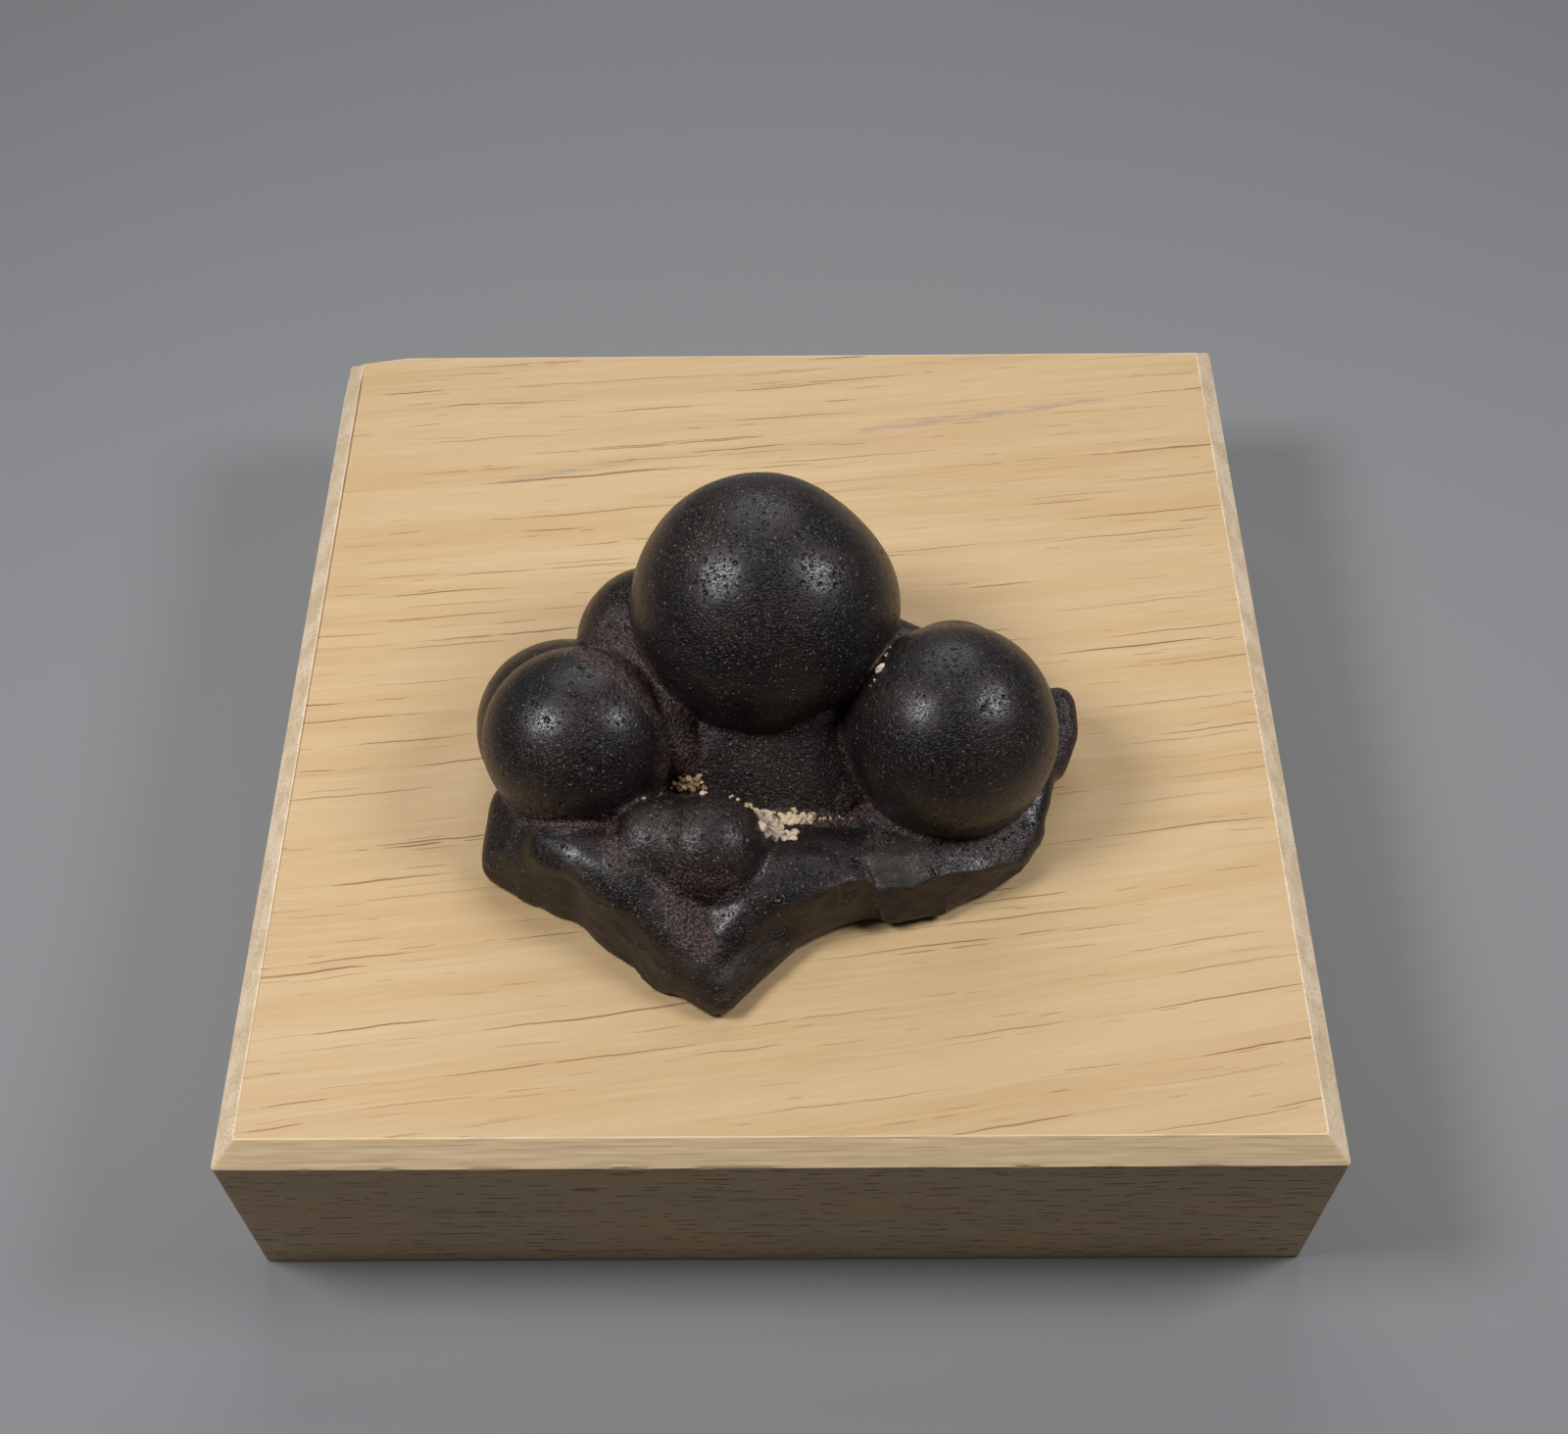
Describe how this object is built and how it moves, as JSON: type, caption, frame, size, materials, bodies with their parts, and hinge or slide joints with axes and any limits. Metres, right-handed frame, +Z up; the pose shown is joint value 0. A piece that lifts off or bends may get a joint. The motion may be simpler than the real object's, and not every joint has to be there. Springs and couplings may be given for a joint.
{
  "type": "wood tin cassiterite specimen on a display block",
  "caption": "Botryoidal wood tin, dark rounded lobes on a broken ledge of cassiterite, resting on a small square chamfered wooden display block.",
  "frame": {"origin": "centre of the display block's bottom face", "axes": "+X to the specimen's right along the wood grain, +Y to the back, +Z up from the surface that the block stands on"},
  "size_m": [0.09, 0.09, 0.0474],
  "materials": {
    "cassiterite": null,
    "block_wood": "pale open-pored wood, sanded, with a matt clear finish"
  },
  "bodies": {
    "root": {"wood_tin": "cassiterite", "display_block": "block_wood"}
  },
  "joints": []
}
